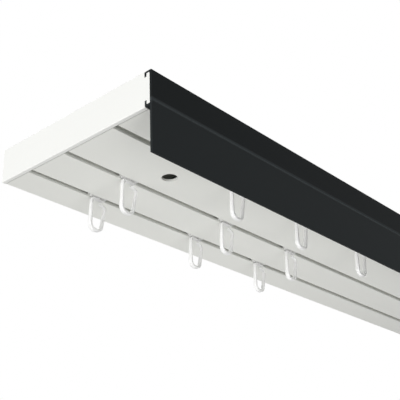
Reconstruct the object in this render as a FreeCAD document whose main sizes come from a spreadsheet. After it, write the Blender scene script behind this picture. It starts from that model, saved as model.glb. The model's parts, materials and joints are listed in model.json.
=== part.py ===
import FreeCAD, Part
import math
import os

import Sketcher

# Three-run ceiling curtain track with a clip-on fascia, in millimetres.
# X runs along the track, Y across it from the fascia to the back edge, Z is up.
# The origin is the centre of the face that lies against the ceiling.

# Every driving size of the product, one named value each.
SIZES = {
    # the extruded track
    "track_length": 1200.0,
    "track_width": 126.0,
    "track_height": 22.0,
    "bottom_skin": 1.5,
    "top_skin": 1.3,
    "web": 1.2,
    "back_round": 0.8,
    "slot_round": 0.3,
    # the three runs: the outer two from the edges, the second past the middle of them
    "run_1_from_front": 29.0,
    "run_2_past_middle": 4.5,
    "run_3_from_back": 24.0,
    "slot_width": 4.0,
    "channel_width": 10.0,
    "channel_height": 8.0,
    # the holes that the ceiling screws go through, past the middle of the first two runs
    "screw_line_past_middle": 0.5,
    "outer_screw_from_end": 68.0,
    "access_hole": 10.0,
    "screw_hole": 5.0,
    # the fascia and the two hooked legs that grip the clip rail
    "fascia_height": 50.0,
    "fascia_thickness": 1.5,
    "ceiling_gap": 0.25,
    "line_from_top": 18.4,
    "line_width": 2.0,
    "line_depth": 0.5,
    "clip_wall": 1.2,
    "clip_reach": 3.6,
    "upper_tip": 3.3,
    "lower_tip": 3.7,
    "clip_gap": 0.15,
    "clip_shoulder": 1.1,
    "clip_fillet": 0.6,
    "rail_round": 0.8,
    "fascia_edge": 0.4,
    # the end caps and the hollow plugs that hold them in the chambers
    "cap_thickness": 2.9,
    "cap_round": 0.6,
    "cap_seam": 0.3,
    "plug_length": 8.0,
    "plug_wall": 1.2,
    "plug_gap": 0.15,
    # the runner that slides in a channel
    "foot_length": 14.0,
    "foot_width": 9.0,
    "foot_thickness": 1.6,
    "foot_corner": 2.0,
    "foot_chamfer": 0.35,
    "keel_length": 11.8,
    "keel_width": 3.6,
    "keel_recess": 0.3,
    "running_gap": 0.1,
    # the hook that turns in the runner
    "stem_width": 2.2,
    "turning_gap": 0.07,
    "head_width": 4.4,
    "head_depth": 1.7,
    "head_rim": 0.5,
    "head_taper": 0.9,
    "head_tip": 1.8,
    "head_gap": 0.1,
    "hook_gap": 0.4,
    # the hook's loop, by the corners of its outer edge and its wall at each of them
    "bridge_reach": 4.2,
    "bridge_wall": 1.2,
    "arm_top": 6.3,
    "arm_bend": 1.9,
    "arm_foot": 7.7,
    "heel_rise": 0.6,
    "heel_bend": 4.8,
    "heel_wall": 1.8,
    "nose_offset": 2.4,
    "nose_depth": 23.6,
    "nose_bend": 4.2,
    "nose_wall": 1.4,
    "shoulder_offset": 6.4,
    "shoulder_depth": 5.2,
    "shoulder_bend": 3.0,
    "shoulder_wall": 1.0,
    "tip_offset": 1.4,
    "tip_depth": 3.1,
    "tip_wall": 0.8,
    "bridge_depth": 2.3,
    "loop_depth": 3.0,
    "gusset_width": 2.4,
    "gusset_height": 5.0,
    "gusset_depth": 1.2,
    # where each glider hangs, measured from the near end of the track
    "run_1_first": 107.9,
    "run_1_second": 176.9,
    "run_1_third": 253.9,
    "run_2_first": 53.5,
    "run_2_second": 147.0,
    "run_2_third": 222.3,
    "run_3_first": 57.0,
    "run_3_second": 151.0,
    "run_3_third": 225.0,
}

RUNS = ("run_1", "run_2", "run_3")
PLACES = ("first", "second", "third")

# How close two coordinates lie that count as the same.
NEAR = 1e-4

# The points of a sketch's line or arc, as its constraints number them.
START, END, CENTRE = range(1, 4)


class Size:
    """A length with the expression that binds it to the sheet, and its value now."""

    def __init__(self, text, value):
        self.text = text
        self.value = value

    def __add__(self, other):
        other = as_size(other)
        return Size(f"({self.text} + {other.text})", self.value + other.value)

    def __sub__(self, other):
        other = as_size(other)
        return Size(f"({self.text} - {other.text})", self.value - other.value)

    def __mul__(self, factor):
        return Size(f"({self.text} * {factor})", self.value * factor)

    def __truediv__(self, divisor):
        return Size(f"({self.text} / {divisor})", self.value / divisor)

    def __neg__(self):
        return Size(f"(0 - {self.text})", -self.value)


def as_size(number):
    """A plain number as a Size, so that it can stand in a sum."""
    return number if isinstance(number, Size) else Size(str(number), float(number))


doc = FreeCAD.newDocument("curtain_track")
sheet = doc.addObject("Spreadsheet::Sheet", "sizes")
for row, (alias, number) in enumerate(SIZES.items(), start=1):
    sheet.set(f"A{row}", alias)
    sheet.set(f"B{row}", str(number))
    sheet.setAlias(f"B{row}", alias)
doc.recompute()

size = {alias: Size(f"sizes.{alias}", number) for alias, number in SIZES.items()}
ZERO = Size("0", 0.0)

# Heights and widths that several pieces share.
front = -size["track_width"] / 2
back = size["track_width"] / 2
underside = -size["track_height"]
track_end = size["track_length"] / 2
profile_length = size["track_length"] - size["cap_thickness"] * 2
fascia_top = -size["ceiling_gap"]
fascia_foot = fascia_top - size["fascia_height"]
tip_front = front + size["clip_reach"] - size["clip_wall"]
tip_back = front + size["clip_reach"]
rail_back = tip_front - size["clip_gap"]
body_front = tip_back + size["clip_gap"]
rail_top = fascia_top - size["clip_wall"] - size["clip_gap"]
rail_foot = underside + size["clip_wall"] + size["clip_gap"]
neck_top = fascia_top - size["upper_tip"] - size["clip_gap"]
neck_foot = underside + size["lower_tip"] + size["clip_gap"]
floor_top = underside + size["bottom_skin"]
roof_foot = -size["top_skin"]
channel_top = floor_top + size["channel_height"]


run_centre = {
    "run_1": front + size["run_1_from_front"],
    "run_3": back - size["run_3_from_back"],
}
run_centre["run_2"] = (run_centre["run_1"] + run_centre["run_3"]) / 2 + size["run_2_past_middle"]
screw_line = (run_centre["run_1"] + run_centre["run_2"]) / 2 + size["screw_line_past_middle"]


def bind(thing, prop, length):
    """Tie one property of an object to the sheet."""
    thing.setExpression(prop, length.text)


def place(thing, along, across, up):
    """Tie an object's place to the sheet."""
    bind(thing, "Placement.Base.x", along)
    bind(thing, "Placement.Base.y", across)
    bind(thing, "Placement.Base.z", up)


def new_body(name):
    """An empty body with the label that names its file."""
    body = doc.addObject("PartDesign::Body", name)
    body.Label = name
    return body


def sketch_on(body, role, name, offset=None):
    """A sketch on one of the body's origin planes, moved along its normal by offset."""
    sketch = body.newObject("Sketcher::SketchObject", name)
    plane = next(item for item in body.Origin.OriginFeatures if item.Role == role)
    sketch.AttachmentSupport = [(plane, "")]
    sketch.MapMode = "FlatFace"
    if offset is not None:
        bind(sketch, "AttachmentOffset.Base.z", offset)
    return sketch


def pin_point(sketch, geometry, corner, point, label):
    """Hold one point of a sketch at two coordinates taken from the sheet."""
    for axis, length in zip(("X", "Y"), point):
        index = sketch.addConstraint(
            Sketcher.Constraint(f"Distance{axis}", geometry, corner, length.value))
        constraint = f"{label}_{axis.lower()}"
        sketch.renameConstraint(index, constraint)
        bind(sketch, f"Constraints.{constraint}", length)


def draw_polygon(sketch, points, label):
    """A closed outline of straight edges through the points."""
    first = sketch.GeometryCount
    count = len(points)
    corners = [FreeCAD.Vector(u.value, v.value, 0) for u, v in points]
    for k in range(count):
        sketch.addGeometry(Part.LineSegment(corners[k], corners[(k + 1) % count]), False)
    for k in range(count):
        following = first + (k + 1) % count
        sketch.addConstraint(
            Sketcher.Constraint("Coincident", first + k, END, following, START))
        pin_point(sketch, first + k, START, points[k], f"{label}_{k + 1}")


def draw_rectangle(sketch, left, right, low, high, label):
    """A closed rectangle between two widths and two heights."""
    draw_polygon(sketch, [(left, low), (right, low), (right, high), (left, high)], label)


def draw_circle(sketch, centre, diameter, label):
    """A circle held by its centre and its radius."""
    middle = FreeCAD.Vector(centre[0].value, centre[1].value, 0)
    circle = Part.Circle(middle, FreeCAD.Vector(0, 0, 1), diameter.value / 2)
    index = sketch.addGeometry(circle, False)
    pin_point(sketch, index, CENTRE, centre, label)
    radius = sketch.addConstraint(Sketcher.Constraint("Radius", index, diameter.value / 2))
    sketch.renameConstraint(radius, f"{label}_radius")
    bind(sketch, f"Constraints.{label}_radius", diameter / 2)


def pad(body, sketch, length, name, symmetric=False):
    """Add material along the sketch's normal."""
    feature = body.newObject("PartDesign::Pad", name)
    feature.Profile = sketch
    feature.SideType = "Symmetric" if symmetric else "One side"
    bind(feature, "Length", length)
    doc.recompute()
    return feature


def cut(body, sketch, name, length=None, upward=False):
    """Remove material, right through both ways or for a length, and check that some went."""
    before = body.Tip.Shape.Volume
    feature = body.newObject("PartDesign::Pocket", name)
    feature.Profile = sketch
    if length is None:
        feature.SideType = "Symmetric"
        feature.Type = "ThroughAll"
    else:
        feature.Reversed = upward
        bind(feature, "Length", length)
    doc.recompute()
    if not body.Tip.Shape.Volume < before:
        raise RuntimeError(f"{name} removes nothing")
    return feature


def edges_where(shape, test):
    """The names of a shape's straight edges whose two ends both pass the test."""
    names = []
    for index, edge in enumerate(shape.Edges, start=1):
        ends = [vertex.Point for vertex in edge.Vertexes]
        if len(ends) == 2 and edge.Curve.TypeId == "Part::GeomLine" and test(ends):
            names.append(f"Edge{index}")
    return names


def runs_along_x(ends):
    """Whether an edge between these ends lies along the track."""
    step = ends[1] - ends[0]
    return abs(step.x) > NEAR and math.hypot(step.y, step.z) < NEAR


def long_edges_at(shape, spots):
    """The names of the edges along the track that pass through any of the spots."""
    def test(ends):
        near = [math.hypot(ends[0].y - y.value, ends[0].z - z.value) < NEAR for y, z in spots]
        return runs_along_x(ends) and any(near)
    return edges_where(shape, test)


def dress(body, kind, names, length, name):
    """Round or chamfer edges of the body's last feature."""
    feature = body.newObject(f"PartDesign::{kind}", name)
    feature.Base = (feature.BaseFeature, names)
    bind(feature, "Radius" if kind == "Fillet" else "Size", length)
    doc.recompute()
    return feature


def track_outline():
    """The outer section of the track, clip rail first, then the hollow body."""
    return [
        (front, rail_foot), (rail_back, rail_foot), (rail_back, neck_foot),
        (body_front, neck_foot), (body_front, underside), (back, underside),
        (back, ZERO), (body_front, ZERO), (body_front, neck_top),
        (rail_back, neck_top), (rail_back, rail_top), (front, rail_top),
    ]


def chambers():
    """The left and right side of each hollow chamber between and beside the channels."""
    half = size["channel_width"] / 2 + size["web"]
    sides = [body_front + size["web"]]
    for run in RUNS:
        sides += [run_centre[run] - half, run_centre[run] + half]
    sides.append(back - size["web"])
    return list(zip(sides[::2], sides[1::2]))


def screw_places():
    """Where the ceiling screws go along the track: near, middle and far."""
    outer = track_end - size["outer_screw_from_end"]
    return [-outer, ZERO, outer]


def build_track_profile():
    """The hollow extrusion with its clip rail, three slotted channels and screw holes."""
    body = new_body("track_profile")
    outline = sketch_on(body, "YZ_Plane", "track_section")
    draw_polygon(outline, track_outline(), "outline")
    pad(body, outline, profile_length, "track_extrusion", symmetric=True)

    hollow = sketch_on(body, "YZ_Plane", "chamber_section")
    for number, (left, right) in enumerate(chambers(), start=1):
        draw_rectangle(hollow, left, right, floor_top, roof_foot, f"chamber_{number}")
    for run in RUNS:
        half = size["channel_width"] / 2
        draw_rectangle(hollow, run_centre[run] - half, run_centre[run] + half,
                       channel_top + size["web"], roof_foot, f"over_{run}")
    cut(body, hollow, "chamber_hollows")

    nose = sketch_on(body, "YZ_Plane", "rail_hollow_section")
    draw_rectangle(nose, front + size["web"], body_front + size["web"],
                   neck_foot + size["web"], neck_top - size["web"], "rail_hollow")
    cut(body, nose, "rail_hollow")

    runs = sketch_on(body, "YZ_Plane", "channel_section")
    for run in RUNS:
        middle = run_centre[run]
        slot = size["slot_width"] / 2
        wide = size["channel_width"] / 2
        draw_polygon(runs, [
            (middle - slot, underside), (middle + slot, underside),
            (middle + slot, floor_top), (middle + wide, floor_top),
            (middle + wide, channel_top), (middle - wide, channel_top),
            (middle - wide, floor_top), (middle - slot, floor_top),
        ], run)
    cut(body, runs, "channels")

    spots = [(back, underside), (back, ZERO)]
    dress(body, "Fillet", long_edges_at(body.Tip.Shape, spots), size["back_round"], "back_edges")
    spots = [(front, rail_foot), (front, rail_top)]
    dress(body, "Fillet", long_edges_at(body.Tip.Shape, spots), size["rail_round"], "rail_edges")
    spots = [(run_centre[run] + size["slot_width"] / 2 * side, underside)
             for run in RUNS for side in (-1, 1)]
    dress(body, "Fillet", long_edges_at(body.Tip.Shape, spots), size["slot_round"], "slot_lips")

    access = sketch_on(body, "XY_Plane", "access_holes", underside)
    screws = sketch_on(body, "XY_Plane", "screw_holes")
    for number, along in enumerate(screw_places(), start=1):
        draw_circle(access, (along, screw_line), size["access_hole"], f"access_{number}")
        draw_circle(screws, (along, screw_line), size["screw_hole"], f"screw_{number}")
    cut(body, access, "access_hole_cuts", size["track_height"] / 2, upward=True)
    cut(body, screws, "screw_hole_cuts", size["track_height"] / 2)
    return body


def build_fascia():
    """The tall front strip with a shadow line and two hooked legs behind it."""
    body = new_body("fascia")
    face = front - size["fascia_thickness"]
    section = sketch_on(body, "YZ_Plane", "fascia_section")
    draw_polygon(section, [
        (face, fascia_foot), (front, fascia_foot), (front, underside),
        (tip_back, underside), (tip_back, underside + size["lower_tip"]),
        (tip_front, underside + size["lower_tip"]), (tip_front, underside + size["clip_wall"]),
        (front, underside + size["clip_wall"]), (front, fascia_top - size["clip_wall"]),
        (tip_front, fascia_top - size["clip_wall"]), (tip_front, fascia_top - size["upper_tip"]),
        (tip_back, fascia_top - size["upper_tip"]), (tip_back, fascia_top), (face, fascia_top),
    ], "fascia")
    pad(body, section, size["track_length"], "fascia_extrusion", symmetric=True)

    shadow = sketch_on(body, "YZ_Plane", "shadow_line_section")
    middle = fascia_top - size["line_from_top"]
    draw_polygon(shadow, [
        (face - size["line_depth"], middle - size["line_width"]),
        (face + size["line_depth"], middle),
        (face - size["line_depth"], middle + size["line_width"]),
    ], "shadow")
    cut(body, shadow, "shadow_line")

    dress(body, "Fillet", long_edges_at(body.Tip.Shape, [(tip_back, fascia_top)]),
          size["clip_shoulder"], "upper_shoulder")
    spots = [(front, underside), (front, underside + size["clip_wall"]), (tip_back, underside)]
    dress(body, "Fillet", long_edges_at(body.Tip.Shape, spots), size["clip_fillet"], "leg_fillets")
    spots = [(face, fascia_foot), (front, fascia_foot), (face, fascia_top)]
    dress(body, "Fillet", long_edges_at(body.Tip.Shape, spots), size["fascia_edge"], "strip_edges")
    return body


def rim_edges(shape, along):
    """The names of a cap's underside and back edges in one plane across the track."""
    def test(ends):
        in_plane = all(abs(end.x - along.value) < NEAR for end in ends)
        below = all(abs(end.z - underside.value) < NEAR for end in ends)
        behind = all(abs(end.y - back.value) < NEAR for end in ends)
        return in_plane and (below or behind)
    return edges_where(shape, test)


def build_end_cap(name, side):
    """A plate of the track's outline with a hollow plug for each chamber."""
    body = new_body(name)
    inner = (track_end - size["cap_thickness"]) * side
    outer = track_end * side
    plate = sketch_on(body, "YZ_Plane", f"{name}_outline", outer if side < 0 else inner)
    draw_polygon(plate, track_outline(), "outline")
    pad(body, plate, size["cap_thickness"], f"{name}_plate")

    start = inner if side < 0 else inner - size["plug_length"]
    plugs = sketch_on(body, "YZ_Plane", f"{name}_plug_section", start)
    for number, (left, right) in enumerate(chambers(), start=1):
        for depth, label in ((size["plug_gap"], "outside"),
                             (size["plug_gap"] + size["plug_wall"], "inside")):
            draw_rectangle(plugs, left + depth, right - depth, floor_top + depth,
                           roof_foot - depth, f"plug_{number}_{label}")
    pad(body, plugs, size["plug_length"], f"{name}_plugs")

    dress(body, "Fillet", rim_edges(body.Tip.Shape, outer), size["cap_round"], f"{name}_rim")
    dress(body, "Chamfer", rim_edges(body.Tip.Shape, inner), size["cap_seam"], f"{name}_seam")
    return body


def build_runner(name, along, across):
    """The slider: a foot plate on the channel's lips and a keel down in the slot."""
    body = new_body(name)
    place(body, along, across, underside)
    foot_low = size["bottom_skin"] + size["running_gap"]
    foot = sketch_on(body, "XY_Plane", f"{name}_foot_outline", foot_low)
    draw_rectangle(foot, -size["foot_length"] / 2, size["foot_length"] / 2,
                   -size["foot_width"] / 2, size["foot_width"] / 2, "foot")
    pad(body, foot, size["foot_thickness"], f"{name}_foot")

    def upright(ends):
        return math.hypot(ends[0].x - ends[1].x, ends[0].y - ends[1].y) < NEAR
    dress(body, "Chamfer", edges_where(body.Tip.Shape, upright), size["foot_corner"],
          f"{name}_corners")
    top = (foot_low + size["foot_thickness"]).value

    def on_top(ends):
        return all(abs(end.z - top) < NEAR for end in ends)
    dress(body, "Chamfer", edges_where(body.Tip.Shape, on_top), size["foot_chamfer"],
          f"{name}_top_edge")

    keel = sketch_on(body, "XY_Plane", f"{name}_keel_outline", size["keel_recess"])
    draw_rectangle(keel, -size["keel_length"] / 2, size["keel_length"] / 2,
                   -size["keel_width"] / 2, size["keel_width"] / 2, "keel")
    pad(body, keel, foot_low - size["keel_recess"], f"{name}_keel")

    bore = sketch_on(body, "XY_Plane", f"{name}_bore_outline")
    draw_circle(bore, (ZERO, ZERO), size["stem_width"] + size["turning_gap"] * 2, "bore")
    cut(body, bore, f"{name}_bore", foot_low + size["foot_thickness"] * 2, upward=True)
    return body


def tangent_corner(before, corner, after, radius):
    """Where a bend of this radius leaves one straight and meets the next, and its centre."""
    inward = (before - corner).normalize()
    outward = (after - corner).normalize()
    half = math.acos(max(-1.0, min(1.0, inward.dot(outward)))) / 2
    middle = corner + (inward + outward).normalize() * (radius / math.sin(half))
    reach = radius / math.tan(half)
    return corner + inward * reach, middle, corner + outward * reach


def to_the_left(before, after):
    """The unit direction to the left of the way from one spot to another."""
    way = (after - before).normalize()
    return FreeCAD.Vector(-way.y, way.x, 0)


def left_corner(before, corner, after, wall):
    """The spot left of a corner that lies one wall away from both of its straights."""
    first = to_the_left(before, corner)
    second = to_the_left(corner, after)
    return corner + (first + second) * (wall / (1 + first.dot(second)))


def add_arc(sketch, leave, middle, meet):
    """An arc from one spot to another, and its two ends in that order."""
    first = math.atan2(leave.y - middle.y, leave.x - middle.x)
    last = math.atan2(meet.y - middle.y, meet.x - middle.x)
    widdershins = (last - first) % (2 * math.pi) < math.pi
    circle = Part.Circle(middle, FreeCAD.Vector(0, 0, 1), (leave - middle).Length)
    span = (first, last) if widdershins else (last, first)
    arc = sketch.addGeometry(Part.ArcOfCircle(circle, *span), False)
    return (arc, START, END) if widdershins else (arc, END, START)


def join_by_arc(sketch, before, after, arc, radius, label):
    """Make an arc run on from one line's end into another line's start."""
    index, near, far = arc
    sketch.addConstraint(Sketcher.Constraint("Tangent", before, END, index, near))
    sketch.addConstraint(Sketcher.Constraint("Tangent", index, far, after, START))
    name = sketch.addConstraint(Sketcher.Constraint("Radius", index, radius.value))
    sketch.renameConstraint(name, label)
    bind(sketch, f"Constraints.{label}", radius)


def bent_line(sketch, spots, bends, label):
    """Lines through a row of spots with a tangent bend at each inner one."""
    corners = [tangent_corner(*spots[k:k + 3], bend.value) for k, bend in enumerate(bends)]
    starts = [spots[0]] + [meet for _, _, meet in corners]
    finishes = [leave for leave, _, _ in corners] + [spots[-1]]
    lines = [sketch.addGeometry(Part.LineSegment(*ends), False)
             for ends in zip(starts, finishes)]
    for k, (corner, bend) in enumerate(zip(corners, bends)):
        arc = add_arc(sketch, *corner)
        join_by_arc(sketch, lines[k], lines[k + 1], arc, bend, f"{label}_bend_{k + 1}")
    return lines


def hold_corner(sketch, spot, before, after):
    """A construction point where two lines would meet."""
    point = sketch.addGeometry(Part.Point(spot), True)
    sketch.addConstraint(Sketcher.Constraint("PointOnObject", point, START, before))
    sketch.addConstraint(Sketcher.Constraint("PointOnObject", point, START, after))
    return point


def draw_strip(sketch, points, bends, walls):
    """A bent strip by its right-hand edge, with a wall that changes from point to point."""
    outer = [FreeCAD.Vector(u.value, v.value, 0) for u, v in points]
    inner = [left_corner(*outer[k:k + 3], wall.value) for k, wall in enumerate(walls[1:-1])]
    ends = [(outer[0], outer[1], walls[0]), (outer[-2], outer[-1], walls[-1])]
    turns = [spot + to_the_left(before, after) * wall.value
             for spot, (before, after, wall) in zip((outer[0], outer[-1]), ends)]
    inner = [turns[0]] + inner + [turns[1]]

    edge = bent_line(sketch, outer, bends, "outer")
    pin_point(sketch, edge[0], START, points[0], "first")
    pin_point(sketch, edge[-1], END, points[-1], "last")
    for k, point in enumerate(points[1:-1], start=1):
        corner = hold_corner(sketch, outer[k], edge[k - 1], edge[k])
        pin_point(sketch, corner, START, point, f"corner_{k}")

    radii = [bend - wall for bend, wall in zip(reversed(bends), reversed(walls[1:-1]))]
    inside = bent_line(sketch, inner[::-1], radii, "inner")
    inside.reverse()
    for k, wall in enumerate(walls[1:-1], start=1):
        corner = hold_corner(sketch, inner[k], inside[k], inside[k - 1])
        for side, line in (("before", edge[k - 1]), ("after", edge[k])):
            index = sketch.addConstraint(
                Sketcher.Constraint("Distance", corner, START, line, wall.value))
            sketch.renameConstraint(index, f"wall_{k}_{side}")
            bind(sketch, f"Constraints.wall_{k}_{side}", wall)

    rounds = ((edge[-1], inside[-1], outer[-1], inner[-1], walls[-1], "last_round"),
              (inside[0], edge[0], inner[0], outer[0], walls[0], "first_round"))
    for before, after, leave, meet, wall, label in rounds:
        arc = add_arc(sketch, leave, (leave + meet) / 2, meet)
        join_by_arc(sketch, before, after, arc, wall / 2, label)


def upright_sketch(name, across=False):
    """A sketch in the plane that stands along the track, or in the one across it."""
    sketch = doc.addObject("Sketcher::SketchObject", name)
    turn = FreeCAD.Rotation(FreeCAD.Vector(1, 0, 0), 90)
    if across:
        turn = FreeCAD.Rotation(FreeCAD.Vector(0, 0, 1), 90) * turn
    sketch.Placement = FreeCAD.Placement(FreeCAD.Vector(), turn)
    return sketch


def thicken(source, name, depth):
    """Push a flat outline out of its plane, half to each side."""
    solid = doc.addObject("Part::Extrusion", name)
    solid.Base = source
    solid.DirMode = "Normal"
    solid.Symmetric = True
    solid.Solid = True
    bind(solid, "LengthFwd", depth)
    return solid


def build_loop(name):
    """The open loop: a bridge, a stout arm, a round nose and a sprung return."""
    outline = upright_sketch(f"{name}_loop_outline")
    draw_strip(
        outline,
        [(size["bridge_reach"], -size["hook_gap"]),
         (-size["arm_top"], -size["hook_gap"]),
         (-size["arm_foot"], size["heel_rise"] - size["nose_depth"]),
         (size["nose_offset"], -size["nose_depth"]),
         (size["shoulder_offset"], -size["shoulder_depth"]),
         (size["tip_offset"], -size["tip_depth"])],
        [size["arm_bend"], size["heel_bend"], size["nose_bend"], size["shoulder_bend"]],
        [size["bridge_wall"], size["bridge_wall"], size["heel_wall"], size["nose_wall"],
         size["shoulder_wall"], size["tip_wall"]])
    strip = thicken(outline, f"{name}_strip", size["loop_depth"])

    section = upright_sketch(f"{name}_taper_section", across=True)
    top = size["bridge_depth"] / 2
    foot = size["loop_depth"] / 2
    draw_polygon(section, [
        (-foot, -size["nose_depth"]), (foot, -size["nose_depth"]), (top, ZERO), (-top, ZERO),
    ], "taper")
    taper = thicken(section, f"{name}_taper", (size["arm_foot"] + size["shoulder_offset"]) * 2)
    loop = doc.addObject("Part::MultiCommon", f"{name}_loop")
    loop.Shapes = [strip, taper]
    return loop


def build_hook(name, along, across):
    """The turning hook: a two-sided snap head on a round stem, and the loop with its web."""
    bridge = -size["hook_gap"] - size["bridge_wall"] / 2
    left = size["bridge_wall"] / 2 - size["arm_top"]
    corner = upright_sketch(f"{name}_web_outline")
    draw_polygon(corner, [
        (left, bridge), (left + size["gusset_width"], bridge),
        (left, bridge - size["gusset_height"]),
    ], "web")
    web = thicken(corner, f"{name}_web", size["gusset_depth"])

    head_low = (size["bottom_skin"] + size["running_gap"] + size["foot_thickness"]
                + size["head_gap"])
    rim = head_low + size["head_rim"]
    wide = size["head_width"] / 2
    narrow = size["head_tip"] / 2
    barb = upright_sketch(f"{name}_head_outline")
    draw_polygon(barb, [
        (-wide, head_low), (wide, head_low), (wide, rim), (narrow, rim + size["head_taper"]),
        (-narrow, rim + size["head_taper"]), (-wide, rim),
    ], "head")
    head = thicken(barb, f"{name}_head", size["head_depth"])

    stem = doc.addObject("Part::Cylinder", f"{name}_stem")
    bind(stem, "Radius", size["stem_width"] / 2)
    bind(stem, "Height", head_low - bridge)
    bind(stem, "Placement.Base.z", bridge)

    hook = doc.addObject("Part::MultiFuse", name)
    hook.Label = name
    hook.Shapes = [build_loop(name), web, stem, head]
    hook.Refine = True
    place(hook, along, across, underside)
    doc.recompute()
    return hook


def build_gliders():
    """A runner and its hook for every place in every run."""
    pieces = []
    for run in RUNS:
        for word in PLACES:
            name = f"{run}_{word}"
            along = size[name] - track_end
            pieces.append(build_runner(f"runner_{name}", along, run_centre[run]))
            pieces.append(build_hook(f"hook_{name}", along, run_centre[run]))
    return pieces


def check_document():
    """Stop if any object of the document failed to build."""
    for item in doc.Objects:
        if "Invalid" in item.State or "Error" in item.State:
            raise RuntimeError(f"{item.Label} did not build: {item.State}")


def write(pieces):
    """Write each piece to its own file once all of them are sound."""
    for piece in pieces:
        shape = piece.Shape
        if shape.isNull() or not shape.isValid() or len(shape.Solids) != 1:
            raise RuntimeError(f"{piece.Label} isn't one sound solid")
    os.makedirs("parts", exist_ok=True)
    for piece in pieces:
        box = piece.Shape.BoundBox
        piece.Shape.exportStep(os.path.join("parts", f"{piece.Label}.step"))
        print(f"{piece.Label:24s} volume {piece.Shape.Volume:10.1f}"
              f"  x {box.XMin:8.2f} {box.XMax:8.2f}"
              f"  y {box.YMin:7.2f} {box.YMax:7.2f}"
              f"  z {box.ZMin:7.2f} {box.ZMax:7.2f}")


pieces = [
    build_track_profile(),
    build_fascia(),
    build_end_cap("end_cap_near", -1),
    build_end_cap("end_cap_far", 1),
]
pieces += build_gliders()
doc.recompute()
check_document()
write(pieces)
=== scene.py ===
"""Looks of a three-run ceiling curtain track with a clip-on fascia and hanging hooks.

Metres throughout. X runs along the track, Y across it from the fascia to the
back edge, and Z is up, with the ceiling at height zero.
"""

import json
import logging
import math
from dataclasses import dataclass, field
from enum import Enum
from typing import Any, Iterable, Mapping, Sequence

import bmesh
import bpy
from mathutils import Matrix, Vector


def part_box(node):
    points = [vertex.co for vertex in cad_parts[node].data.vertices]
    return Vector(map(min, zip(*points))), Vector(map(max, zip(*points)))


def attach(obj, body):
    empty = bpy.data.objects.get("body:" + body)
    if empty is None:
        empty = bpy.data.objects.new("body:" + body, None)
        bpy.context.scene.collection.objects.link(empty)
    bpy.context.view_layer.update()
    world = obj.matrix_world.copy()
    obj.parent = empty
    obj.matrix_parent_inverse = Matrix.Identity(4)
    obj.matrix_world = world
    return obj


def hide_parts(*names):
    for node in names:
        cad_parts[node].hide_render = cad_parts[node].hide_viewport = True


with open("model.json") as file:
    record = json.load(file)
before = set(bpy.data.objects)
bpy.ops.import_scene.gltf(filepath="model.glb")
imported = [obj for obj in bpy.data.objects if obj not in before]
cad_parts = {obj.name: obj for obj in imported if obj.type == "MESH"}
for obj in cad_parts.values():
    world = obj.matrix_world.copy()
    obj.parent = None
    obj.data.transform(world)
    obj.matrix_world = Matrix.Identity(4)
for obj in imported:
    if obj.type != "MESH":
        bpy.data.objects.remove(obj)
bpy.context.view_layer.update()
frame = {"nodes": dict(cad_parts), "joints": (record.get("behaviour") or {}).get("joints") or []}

log = logging.getLogger("curtain_track")

MM = 0.001
ACROSS = Vector((0.0, 1.0, 0.0))
UP = Vector((0.0, 0.0, 1.0))
WHITE = (1.0, 1.0, 1.0, 1.0)

# How far two faces may turn from each other and still shade as one.
SHARP_ANGLE = math.radians(35)

# How many faces round a softened edge.
SOFT_STEPS = 2

# How many finer layers lie over the first in every noise.
NOISE_DETAIL = 2.0


class Signal:
    """A number that changes over a surface, which Python's operators can work on."""

    def __init__(self, board: "Board", socket: bpy.types.NodeSocket) -> None:
        """Keep the socket and the board that its sums are laid out on."""
        self.board = board
        self.socket = socket

    def _sum(self, operation: str, first: Any, second: Any) -> "Signal":
        """Lay out one Math node.

        Args:
            operation: Blender's name of the operation.
            first: The left operand, a signal or a number.
            second: The right operand, a signal or a number.

        Returns:
            The node's result.
        """
        made = self.board.node("ShaderNodeMath", {"operation": operation}, {0: first, 1: second})
        return Signal(self.board, made.outputs[0])

    def __add__(self, other: Any) -> "Signal":
        """This signal plus another or a number."""
        return self._sum("ADD", self, other)

    __radd__ = __add__

    def __sub__(self, other: Any) -> "Signal":
        """This signal less another or a number."""
        return self._sum("SUBTRACT", self, other)

    def __rsub__(self, other: Any) -> "Signal":
        """A number less this signal."""
        return self._sum("SUBTRACT", other, self)

    def __mul__(self, other: Any) -> "Signal":
        """This signal times another or a number."""
        return self._sum("MULTIPLY", self, other)

    __rmul__ = __mul__

    def above(self, level: float) -> "Signal":
        """One where this signal is over a level, otherwise nought."""
        return self._sum("GREATER_THAN", self, level)

    def unsigned(self) -> "Signal":
        """This signal without its sign."""
        return self._sum("ABSOLUTE", self, 0.0)

    def peak(self, level: float, reach: float) -> "Signal":
        """One at a level, falling evenly to nought at a reach above and below it."""
        gap = (self - level).unsigned()
        return self._sum("MAXIMUM", 1.0 - gap * (1.0 / reach), 0.0)


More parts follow.
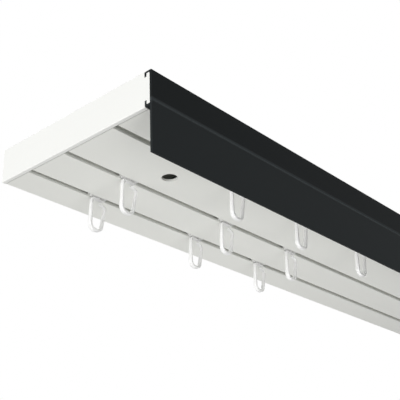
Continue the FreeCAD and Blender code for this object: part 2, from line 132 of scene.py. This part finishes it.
class Board:
    """A material's or world's node tree, and the one way that nodes are put on it."""

    def __init__(self, tree: bpy.types.NodeTree) -> None:
        """Start from an empty tree."""
        self.tree = tree
        tree.nodes.clear()

    def node(self, kind: str, settings: Mapping[str, Any] | None = None,
             sockets: Mapping[str | int, Any] | None = None) -> bpy.types.Node:
        """Put one node on the board.

        Args:
            kind: Blender's type name of the node.
            settings: The node's own settings, which are set before its sockets.
            sockets: What each socket gets, by name or place: a signal, another
                node's socket or a plain value.

        Returns:
            The node.
        """
        made = self.tree.nodes.new(kind)
        for name, value in (settings or {}).items():
            setattr(made, name, value)
        for key, value in (sockets or {}).items():
            if isinstance(value, Signal):
                value = value.socket
            if isinstance(value, bpy.types.NodeSocket):
                self.tree.links.new(value, made.inputs[key])
            else:
                made.inputs[key].default_value = value
        return made

    def place(self) -> bpy.types.NodeSocket:
        """Where on the object a point lies, in metres."""
        return self.node("ShaderNodeTexCoord").outputs["Object"]

    def axis(self, place: bpy.types.NodeSocket, name: str) -> Signal:
        """One coordinate, X, Y or Z, of a place."""
        split = self.node("ShaderNodeSeparateXYZ", sockets={0: place})
        return Signal(self, split.outputs[name])

    def noise(self, place: bpy.types.NodeSocket, stretch: Sequence[float]) -> Signal:
        """Smooth noise from nought to one.

        Args:
            place: The coordinates that it is read at.
            stretch: How many features a metre holds along X, Y and Z.

        Returns:
            The noise.
        """
        spread = self.node("ShaderNodeVectorMath", {"operation": "MULTIPLY"},
                           {0: place, 1: tuple(stretch)})
        made = self.node("ShaderNodeTexNoise", sockets={
            "Vector": spread.outputs[0], "Scale": 1.0, "Detail": NOISE_DETAIL})
        return Signal(self, made.outputs[0])

    def blend(self, mask: Signal, low: Any, high: Any) -> bpy.types.NodeSocket:
        """A colour between two others.

        Args:
            mask: Nought for the first colour and one for the second.
            low: The first colour.
            high: The second colour.

        Returns:
            The blended colour.
        """
        made = self.node("ShaderNodeMix", {"data_type": "RGBA"}, {0: mask, 6: low, 7: high})
        return made.outputs[2]


class Grain(Enum):
    """How the fine relief of a finish runs."""

    DRAWN = "drawn"
    MOULDED = "moulded"


@dataclass(frozen=True)
class Finish:
    """A plastic or coated surface: colour, sheen and fine relief."""

    name: str
    colour: tuple[float, float, float]
    grain: Grain
    grain_size: float
    relief: float
    roughness: float
    roughness_spread: float = 0.06
    clouding: float = 0.03
    cloud_size: float = 0.12
    gloss: float = 0.5
    coat: float = 0.0
    translucency: float = 0.0
    scatter: float = 1.0 * MM
    drawn_length: float = 0.4

    def tint(self, board: Board, place: bpy.types.NodeSocket) -> bpy.types.NodeSocket:
        """The colour, slightly clouded over a hand's breadth.

        Args:
            board: The material's board.
            place: The coordinates that the clouds are read at.

        Returns:
            The colour.
        """
        clouds = board.noise(place, (1.0 / self.cloud_size,) * 3)
        dull = tuple(part * (1.0 - self.clouding) for part in self.colour)
        return board.blend(clouds, (*self.colour, 1.0), (*dull, 1.0))

    def ridges(self, board: Board, place: bpy.types.NodeSocket) -> Signal:
        """The fine relief, as long die lines or as an even speckle.

        Args:
            board: The material's board.
            place: The coordinates that the relief is read at.

        Returns:
            The relief from nought to one.
        """
        fine = 1.0 / self.grain_size
        along = 1.0 / self.drawn_length if self.grain is Grain.DRAWN else fine
        return board.noise(place, (along, fine, fine))

    def material(self) -> bpy.types.Material:
        """Build the node material of this finish.

        Returns:
            The material.
        """
        made = bpy.data.materials.new(self.name)
        made.use_nodes = True
        board = Board(made.node_tree)
        place = board.place()
        ridges = self.ridges(board, place)
        bump = board.node("ShaderNodeBump", sockets={
            "Strength": 1.0, "Distance": self.relief, "Height": ridges})
        shader = board.node("ShaderNodeBsdfPrincipled", sockets={
            "Base Color": self.tint(board, place),
            "Roughness": self.roughness + (ridges - 0.5) * self.roughness_spread,
            "Specular IOR Level": self.gloss,
            "Coat Weight": self.coat,
            "Subsurface Weight": self.translucency,
            "Subsurface Radius": (1.0, 1.0, 1.0),
            "Subsurface Scale": self.scatter,
            "Normal": bump.outputs["Normal"]})
        board.node("ShaderNodeOutputMaterial", sockets={"Surface": shader.outputs[0]})
        return made


@dataclass(frozen=True)
class ShadedBandFinish(Finish):
    """A coat with painted shade on the band above the pressed line, and a painted highlight along the line."""

    line_height: float = 0.0
    line_highlight_reach: float = 1.0
    line_highlight_share: float = 1.0
    upper_shade_share: float = 1.0

    def tint(self, board: Board, place: bpy.types.NodeSocket) -> bpy.types.NodeSocket:
        """The clouded colour, with painted shade above the line and a painted highlight in it.

        Args:
            board: The material's board.
            place: The coordinates that the band is read at.

        Returns:
            The colour.
        """
        plain = super().tint(board, place)
        # Painted shade on the band above the line, and a painted highlight in the line itself.
        band_shade = tuple(part * self.upper_shade_share for part in self.colour)
        pale = tuple(part * self.line_highlight_share for part in self.colour)
        height = board.axis(place, "Z")
        banded = board.blend(height.above(self.line_height), plain, (*band_shade, 1.0))
        return board.blend(height.peak(self.line_height, self.line_highlight_reach), banded,
                           (*pale, 1.0))


@dataclass(frozen=True)
class JointShadeFinish(Finish):
    """A plastic with painted shade along the joints near both ends of the track."""

    seam_place: float = 0.0
    seam_shade_reach: float = 1.0
    seam_shade_share: float = 1.0

    def tint(self, board: Board, place: bpy.types.NodeSocket) -> bpy.types.NodeSocket:
        """The clouded colour, with painted shade in the joints.

        Args:
            board: The material's board.
            place: The coordinates that the joints are read at.

        Returns:
            The colour.
        """
        plain = super().tint(board, place)
        # Painted shade: the colour is dimmed where the joint between profile and cap lies in shadow.
        joint_shade = tuple(part * self.seam_shade_share for part in self.colour)
        along = board.axis(place, "X").unsigned()
        return board.blend(along.peak(self.seam_place, self.seam_shade_reach), plain, (*joint_shade, 1.0))


def dress_node(name: str, material: bpy.types.Material) -> None:
    """Give a CAD node its material.

    Args:
        name: The node's name.
        material: What it is finished with.
    """
    node = frame["nodes"][name]
    for slot in node.material_slots:
        slot.material = material
    log.info("%s is finished with %s", name, material.name)


def make_piece(name: str, mesh: bmesh.types.BMesh, material: bpy.types.Material, body: str) -> bpy.types.Object:
    """Turn a finished bmesh into a piece that rides on a body.

    Args:
        name: The piece's name.
        mesh: Its shape, which is freed.
        material: What it is finished with.
        body: The CAD body that it moves with.

    Returns:
        The new object.
    """
    bmesh.ops.recalc_face_normals(mesh, faces=mesh.faces)
    data = bpy.data.meshes.new(name)
    mesh.to_mesh(data)
    mesh.free()
    data.shade_smooth()
    data.set_sharp_from_angle(angle=SHARP_ANGLE)
    data.materials.append(material)
    piece = bpy.data.objects.new(name, data)
    bpy.context.scene.collection.objects.link(piece)
    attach(piece, body)
    log.info("%s rides on %s with %d faces", name, body, len(data.polygons))
    return piece


def soften(mesh: bmesh.types.BMesh, edges: Iterable[bmesh.types.BMEdge], radius: float) -> None:
    """Round some edges of a mesh.

    Args:
        mesh: The mesh.
        edges: The edges to round.
        radius: How far the rounding reaches.
    """
    bmesh.ops.bevel(mesh, geom=list(edges), offset=radius, offset_type="OFFSET",
                    segments=SOFT_STEPS, profile=0.5, affect="EDGES", material=-1,
                    clamp_overlap=True)


class Bar:
    """A moulded bar: one rounded section pushed along straights and bends.

    The bar stays in an upright plane along the track.
    """

    # The widest turn that one step of a bend takes.
    STEP = math.radians(12)

    # How many steps round a long edge.
    EDGE_STEPS = 3

    def __init__(self, mesh: bmesh.types.BMesh, start: Vector, heading: Vector,
                 thickness: float, depth: float, edge: float) -> None:
        """Lay the first section across the start of the bar.

        Args:
            mesh: The mesh that the bar is built in.
            start: The middle of the first section.
            heading: The way that the bar sets off.
            thickness: Its size in the upright plane.
            depth: Its size across the track.
            edge: The radius of its long edges.
        """
        self.mesh = mesh
        self.spot = start
        self.heading = heading
        self.thickness = thickness
        self.depth = depth
        corners = bmesh.ops.create_grid(mesh, x_segments=1, y_segments=1, size=0.5)["verts"]
        face = corners[0].link_faces[0]
        turned = Matrix((self.side, ACROSS, heading)).transposed().to_4x4()
        placed = Matrix.Translation(start) @ turned @ Matrix.Diagonal((thickness, depth, 1, 1))
        bmesh.ops.transform(mesh, matrix=placed, verts=corners)
        bmesh.ops.bevel(mesh, geom=list(face.verts), offset=edge, offset_type="OFFSET",
                        segments=self.EDGE_STEPS, profile=0.5, affect="VERTICES",
                        material=-1)
        self.cap = next(iter(mesh.faces))
        self.first = self.cap

    @property
    def side(self) -> Vector:
        """The way that a right-handed turn about the across axis leads."""
        return ACROSS.cross(self.heading)

    @property
    def end(self) -> list[bmesh.types.BMVert | bmesh.types.BMEdge | bmesh.types.BMFace]:
        """The last section with its rim, so that pushing it on leaves no face inside."""
        return [self.cap, *self.cap.edges, *self.cap.verts]

    def straight(self, length: float, thickness: float, depth: float) -> None:
        """Push the section straight on while it grows or thins to a new size.

        Args:
            length: How far.
            thickness: The section's new thickness.
            depth: The section's new depth.
        """
        made = bmesh.ops.extrude_face_region(self.mesh, geom=self.end)["geom"]
        self.cap = next(item for item in made if isinstance(item, bmesh.types.BMFace))
        grow = (Matrix.Scale(thickness / self.thickness, 4, self.side)
                @ Matrix.Scale(depth / self.depth, 4, ACROSS))
        self.thickness = thickness
        self.depth = depth
        ahead = self.spot + self.heading * length
        move = Matrix.Translation(ahead) @ grow @ Matrix.Translation(-self.spot)
        bmesh.ops.transform(self.mesh, matrix=move, verts=list(self.cap.verts))
        self.spot = ahead

    def bend(self, radius: float, turn: float) -> None:
        """Push the section round a bend.

        Args:
            radius: From the bend's centre to the bar's middle line.
            turn: The angle about the across axis, right-handed.
        """
        centre = self.spot + self.side * math.copysign(radius, turn)
        steps = max(2, math.ceil(abs(turn) / self.STEP))
        made = bmesh.ops.spin(self.mesh, geom=self.end, cent=centre, axis=ACROSS,
                              dvec=(0, 0, 0), angle=turn, steps=steps, use_duplicate=False)
        self.cap = next(item for item in made["geom_last"]
                        if isinstance(item, bmesh.types.BMFace))
        swing = Matrix.Rotation(turn, 3, ACROSS)
        self.spot = centre + swing @ (self.spot - centre)
        self.heading = swing @ self.heading

    def follow(self, corners: Sequence[Vector], bends: Sequence[float],
               sections: Sequence[tuple[float, float]]) -> None:
        """Lead the bar to each corner in turn, with a bend at all but the last.

        Args:
            corners: Where the straights would meet, the bar's end last.
            bends: The bend radius at each corner but the last.
            sections: The thickness and depth that each straight grows or thins to.
        """
        for corner, after, radius, section in zip(corners, corners[1:], bends, sections):
            way = (after - corner).normalized()
            turn = math.atan2(self.heading.cross(way).dot(ACROSS), self.heading.dot(way))
            reach = radius * math.tan(abs(turn) / 2)
            self.straight((corner - self.spot).length - reach, *section)
            self.bend(radius, turn)
        self.straight((corners[-1] - self.spot).length, *sections[-1])

    def close(self, radius: float) -> None:
        """Round the rims of both ends."""
        soften(self.mesh, [*self.first.edges, *self.cap.edges], radius)


@dataclass
class Hook:
    """The turning curtain hook: snap head, stem, bridge, stout arm and sprung return."""

    name: str
    origin: Vector
    body: str
    material: bpy.types.Material
    hook_gap: float = 0.4 * MM
    bridge_reach: float = 4.4 * MM
    bridge_thickness: float = 1.2 * MM
    bridge_bend: float = 1.3 * MM
    arm_top: float = 5.7 * MM
    arm_foot: float = 6.75 * MM
    heel_depth: float = 22.15 * MM
    heel_bend: float = 3.9 * MM
    heel_thickness: float = 1.8 * MM
    nose_offset: float = 1.84 * MM
    nose_depth: float = 22.87 * MM
    nose_bend: float = 3.5 * MM
    nose_thickness: float = 1.4 * MM
    shoulder_offset: float = 5.82 * MM
    shoulder_depth: float = 5.5 * MM
    shoulder_bend: float = 2.5 * MM
    shoulder_thickness: float = 1.0 * MM
    tip_offset: float = 1.0 * MM
    tip_depth: float = 3.4 * MM
    tip_thickness: float = 0.8 * MM
    bridge_depth: float = 2.3 * MM
    loop_depth: float = 2.95 * MM
    return_depth: float = 2.3 * MM
    gusset_width: float = 2.4 * MM
    gusset_height: float = 5.0 * MM
    gusset_depth: float = 1.2 * MM
    stem_radius: float = 1.1 * MM
    head_reach: float = 2.2 * MM
    head_tip: float = 0.9 * MM
    head_low: float = 3.3 * MM
    head_rim: float = 0.5 * MM
    head_taper: float = 0.9 * MM
    head_depth: float = 1.7 * MM
    long_edge: float = 0.3 * MM
    end_edge: float = 0.25 * MM
    web_edge: float = 0.15 * MM
    pole_gap: float = 0.015 * MM
    turned_steps: int = 28

    def at(self, along: float, height: float) -> Vector:
        """A point of the hook's own upright plane, in the frame."""
        return self.origin + Vector((along, 0.0, height))

    @property
    def bridge_height(self) -> float:
        """The height of the bridge's middle line."""
        return -self.hook_gap - self.bridge_thickness / 2

    def loop(self) -> bpy.types.Object:
        """Lead one bar from the stem round the loop to the sprung tip.

        Returns:
            The loop.
        """
        corners = [
            self.at(-self.arm_top, self.bridge_height),
            self.at(-self.arm_foot, -self.heel_depth),
            self.at(self.nose_offset, -self.nose_depth),
            self.at(self.shoulder_offset, -self.shoulder_depth),
            self.at(self.tip_offset, -self.tip_depth),
        ]
        bends = [self.bridge_bend, self.heel_bend, self.nose_bend, self.shoulder_bend]
        sections = [
            (self.bridge_thickness, self.bridge_depth),
            (self.heel_thickness, self.loop_depth),
            (self.nose_thickness, self.loop_depth),
            (self.shoulder_thickness, self.return_depth),
            (self.tip_thickness, self.return_depth),
        ]
        mesh = bmesh.new()
        start = self.at(self.bridge_reach, self.bridge_height)
        bar = Bar(mesh, start, Vector((-1.0, 0.0, 0.0)), self.bridge_thickness,
                  self.bridge_depth, self.long_edge)
        bar.follow(corners, bends, sections)
        bar.close(self.end_edge)
        return make_piece(f"loop_{self.name}", mesh, self.material, self.body)

    def stem(self) -> bpy.types.Object:
        """Turn the round stem about the hook's axis.

        Returns:
            The stem.
        """
        top = self.head_low + self.head_rim
        outline = [(0.0, self.bridge_height), (self.stem_radius, self.bridge_height),
                   (self.stem_radius, top), (0.0, top)]
        mesh = bmesh.new()
        spots = [mesh.verts.new(self.at(radius, height)) for radius, height in outline]
        chain = [mesh.edges.new(pair) for pair in zip(spots, spots[1:])]
        bmesh.ops.spin(mesh, geom=[*spots, *chain], cent=self.origin, axis=UP,
                       dvec=(0, 0, 0), angle=math.tau, steps=self.turned_steps,
                       use_merge=True, use_duplicate=False)
        bmesh.ops.remove_doubles(mesh, verts=mesh.verts, dist=self.pole_gap)
        return make_piece(f"stem_{self.name}", mesh, self.material, self.body)

    def flat(self, role: str, corners: Sequence[tuple[float, float]],
             depth: float) -> bpy.types.Object:
        """Thicken an outline in the hook's upright plane and break its edges.

        Args:
            role: What the piece is called before the hook's own name.
            corners: The outline, as places along the track and heights.
            depth: Its size across the track.

        Returns:
            The piece.
        """
        mesh = bmesh.new()
        offset = ACROSS * (depth / 2)
        face = mesh.faces.new([mesh.verts.new(self.at(*corner) - offset) for corner in corners])
        made = bmesh.ops.extrude_face_region(mesh, geom=[face])["geom"]
        moved = [item for item in made if isinstance(item, bmesh.types.BMVert)]
        bmesh.ops.translate(mesh, verts=moved, vec=offset * 2)
        soften(mesh, mesh.edges, self.web_edge)
        return make_piece(f"{role}_{self.name}", mesh, self.material, self.body)

    def head(self) -> bpy.types.Object:
        """Cut the flat barb that snaps through the runner's bore.

        Returns:
            The head.
        """
        rim = self.head_low + self.head_rim
        top = rim + self.head_taper
        corners = [(-self.head_reach, self.head_low), (self.head_reach, self.head_low),
                   (self.head_reach, rim), (self.head_tip, top), (-self.head_tip, top),
                   (-self.head_reach, rim)]
        return self.flat("head", corners, self.head_depth)

    def gusset(self) -> bpy.types.Object:
        """Cut the web that stiffens the corner of bridge and arm.

        Returns:
            The web.
        """
        left = -self.arm_top
        corners = [(left, self.bridge_height), (left + self.gusset_width, self.bridge_height),
                   (left, self.bridge_height - self.gusset_height)]
        return self.flat("web", corners, self.gusset_depth)

    def build(self) -> None:
        """Model the hook and let it stand for its CAD node."""
        loop = self.loop()
        self.stem()
        self.head()
        self.gusset()
        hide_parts(self.body)


@dataclass
class Gliders:
    """The nine runners in their channels and the hooks that turn in them."""

    nylon: Finish = Finish(
        name="hook_nylon_white", colour=(0.93, 0.93, 0.92), grain=Grain.MOULDED,
        grain_size=1.5 * MM, relief=0.02 * MM, roughness=0.32, clouding=0.015,
        cloud_size=0.01, gloss=0.4, coat=0.05, translucency=0.85, scatter=3.0 * MM)
    runner: Finish = Finish(
        name="runner_nylon_white", colour=(0.72, 0.72, 0.71), grain=Grain.MOULDED,
        grain_size=1.0 * MM, relief=0.015 * MM, roughness=0.4, clouding=0.02,
        cloud_size=0.01)

    def build(self) -> None:
        """Dress every runner and model every hook at its turning joint."""
        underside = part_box("track_profile")[0].z
        hook_white = self.nylon.material()
        runner_white = self.runner.material()
        for joint in frame["joints"]:
            if joint["type"] == "slide":
                dress_node(joint["child"], runner_white)
            else:
                along, across, _ = joint["pos_m"]
                name = joint["child"].removeprefix("hook_")
                Hook(name, Vector((along, across, underside)), joint["child"],
                     hook_white).build()


@dataclass
class Track:
    """The white hollow profile and the two caps that close its ends."""

    profile_colour: tuple[float, float, float] = (0.88, 0.887, 0.845)
    cap_colour: tuple[float, float, float] = (0.88, 0.885, 0.86)
    # How wide and how deep the painted shade in the joint between profile and cap is.
    seam_shade_reach: float = 0.7 * MM
    seam_shade_share: float = 0.78

    def build(self) -> None:
        """Dress the profile and both caps, with the joint between them in shade."""
        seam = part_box("track_profile")[1].x
        profile = JointShadeFinish(
            name="track_white_satin", colour=self.profile_colour, grain=Grain.DRAWN,
            grain_size=1.3 * MM, relief=0.012 * MM, roughness=0.42, clouding=0.02,
            seam_place=seam, seam_shade_reach=self.seam_shade_reach, seam_shade_share=self.seam_shade_share)
        cap = JointShadeFinish(
            name="cap_white_moulded", colour=self.cap_colour, grain=Grain.MOULDED,
            grain_size=0.5 * MM, relief=0.01 * MM, roughness=0.45, clouding=0.015,
            cloud_size=0.05, seam_place=seam, seam_shade_reach=self.seam_shade_reach,
            seam_shade_share=self.seam_shade_share)
        dress_node("track_profile", profile.material())
        cap_white = cap.material()
        for name in ("end_cap_near", "end_cap_far"):
            dress_node(name, cap_white)


@dataclass
class Fascia:
    """The tall anthracite strip in front, with its pressed line."""

    line_from_top: float = 18.4 * MM
    # How wide and how bright the painted highlight in the line is, and how deep the painted shade above it.
    line_highlight_reach: float = 1.6 * MM
    line_highlight_share: float = 2.4
    upper_shade_share: float = 0.62
    colour: tuple[float, float, float] = (0.0262, 0.0300, 0.0314)

    def build(self) -> None:
        """Dress the strip, with painted shade above its line and a painted highlight in it."""
        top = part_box("fascia")[1].z
        coat = ShadedBandFinish(
            name="fascia_anthracite", colour=self.colour, grain=Grain.MOULDED,
            grain_size=0.45 * MM, relief=0.01 * MM, roughness=0.55, clouding=0.06,
            gloss=0.02, line_height=top - self.line_from_top, line_highlight_reach=self.line_highlight_reach,
            line_highlight_share=self.line_highlight_share, upper_shade_share=self.upper_shade_share)
        dress_node("fascia", coat.material())


@dataclass
class Lamp:
    """A soft square studio lamp."""

    name: str
    spot: Vector
    target: Vector
    width: float
    power: float

    def build(self) -> None:
        """Hang the lamp and turn it to its target."""
        light = bpy.data.lights.new(self.name, "AREA")
        light.size = self.width
        light.energy = self.power
        holder = bpy.data.objects.new(self.name, light)
        holder.location = self.spot
        holder.rotation_euler = (self.target - self.spot).to_track_quat("-Z", "Y").to_euler()
        bpy.context.scene.collection.objects.link(holder)
        log.info("lamp %s gives %.1f W", self.name, self.power)


@dataclass
class Studio:
    """The plain room: a pale floor well below the track, soft lamps and white air."""

    floor_height: float = -2.4
    floor_side: float = 24.0
    floor_colour: tuple[float, float, float] = (0.8, 0.8, 0.79)
    floor_clouding: float = 0.02
    floor_clouds: float = 3.0
    floor_roughness: float = 0.8
    floor_share: float = 0.6
    air_light: float = 0.35
    lamps: list[Lamp] = field(default_factory=lambda: [
        Lamp("lamp_end", Vector((-2.4, 0.15, -0.3)), Vector((-0.5, 0.0, -0.02)), 1.0, 25.2),
        Lamp("lamp_below", Vector((-0.42, 0.02, -0.45)), Vector((-0.4, -0.02, 0.0)), 0.35, 0.47),
        Lamp("lamp_front", Vector((-0.75, -0.8, -0.6)), Vector((-0.35, 0.0, -0.03)), 0.5, 2.8),
    ])

    def seen(self, board: Board) -> Signal:
        """One where the eye or a reflection looks, and nothing where only light passes."""
        path = board.node("ShaderNodeLightPath")
        return (Signal(board, path.outputs["Is Camera Ray"])
                + Signal(board, path.outputs["Is Glossy Ray"])
                + Signal(board, path.outputs["Is Transmission Ray"])).above(0.5)

    def floor(self) -> None:
        """Lay the floor, which looks paler than the light that it gives back."""
        mesh = bmesh.new()
        bmesh.ops.create_grid(mesh, x_segments=1, y_segments=1, size=self.floor_side / 2)
        bmesh.ops.translate(mesh, verts=mesh.verts, vec=(0, 0, self.floor_height))
        data = bpy.data.meshes.new("floor")
        mesh.to_mesh(data)
        mesh.free()
        made = bpy.data.materials.new("floor_pale")
        made.use_nodes = True
        board = Board(made.node_tree)
        clouds = board.noise(board.place(), (self.floor_clouds,) * 3)
        dull = tuple(part * (1.0 - self.floor_clouding) for part in self.floor_colour)
        colour = board.blend(clouds, (*self.floor_colour, 1.0), (*dull, 1.0))
        shader = board.node("ShaderNodeBsdfPrincipled", sockets={
            "Base Color": colour, "Roughness": self.floor_roughness})
        pale = board.node("ShaderNodeEmission", sockets={"Color": WHITE, "Strength": 1.0})
        mixed = board.node("ShaderNodeMixShader", sockets={
            0: self.seen(board) * self.floor_share, 1: shader.outputs[0], 2: pale.outputs[0]})
        board.node("ShaderNodeOutputMaterial", sockets={"Surface": mixed.outputs[0]})
        data.materials.append(made)
        plane = bpy.data.objects.new("floor", data)
        bpy.context.scene.collection.objects.link(plane)

    def air(self) -> None:
        """Light the room evenly and let the eye and reflections see plain white."""
        world = bpy.data.worlds.new("studio_air")
        world.use_nodes = True
        board = Board(world.node_tree)
        light = board.node("ShaderNodeBackground", sockets={
            "Color": WHITE, "Strength": self.air_light})
        white = board.node("ShaderNodeBackground", sockets={"Color": WHITE, "Strength": 1.0})
        mixed = board.node("ShaderNodeMixShader", sockets={
            0: self.seen(board), 1: light.outputs[0], 2: white.outputs[0]})
        board.node("ShaderNodeOutputWorld", sockets={"Surface": mixed.outputs[0]})
        bpy.context.scene.world = world

    def build(self) -> None:
        """Set up the floor, the air and the lamps."""
        self.floor()
        self.air()
        for lamp in self.lamps:
            lamp.build()


@dataclass
class Viewpoint:
    """The camera below the near end, looking up along the track."""

    spot: Vector = field(default_factory=lambda: Vector((-0.86121, -0.31644, -0.25060)))
    yaw: float = math.radians(49.644)
    pitch: float = math.radians(25.434)
    roll: float = math.radians(-2.324)
    lens: float = 73.99
    sensor: float = 36.0
    nearest: float = 0.01
    farthest: float = 50.0

    def build(self) -> None:
        """Make the camera and give it to the scene."""
        ahead = Vector((math.sin(self.yaw) * math.cos(self.pitch),
                        math.cos(self.yaw) * math.cos(self.pitch), math.sin(self.pitch)))
        level = Vector((math.cos(self.yaw), -math.sin(self.yaw), 0.0))
        over = level.cross(ahead)
        right = level * math.cos(self.roll) + over * math.sin(self.roll)
        top = over * math.cos(self.roll) - level * math.sin(self.roll)
        data = bpy.data.cameras.new("camera")
        data.lens = self.lens
        data.sensor_width = self.sensor
        data.clip_start = self.nearest
        data.clip_end = self.farthest
        holder = bpy.data.objects.new("camera", data)
        turned = Matrix((right, top, -ahead)).transposed().to_4x4()
        holder.matrix_world = Matrix.Translation(self.spot) @ turned
        bpy.context.scene.collection.objects.link(holder)
        bpy.context.scene.camera = holder


def main() -> None:
    """Build the object's looks, the studio and the camera."""
    logging.basicConfig(level=logging.INFO, format="%(name)s: %(message)s")
    Track().build()
    Fascia().build()
    Gliders().build()
    Studio().build()
    Viewpoint().build()
    bpy.context.scene.view_settings.view_transform = "Standard"
    bpy.context.view_layer.update()


if __name__ == "__main__":
    main()
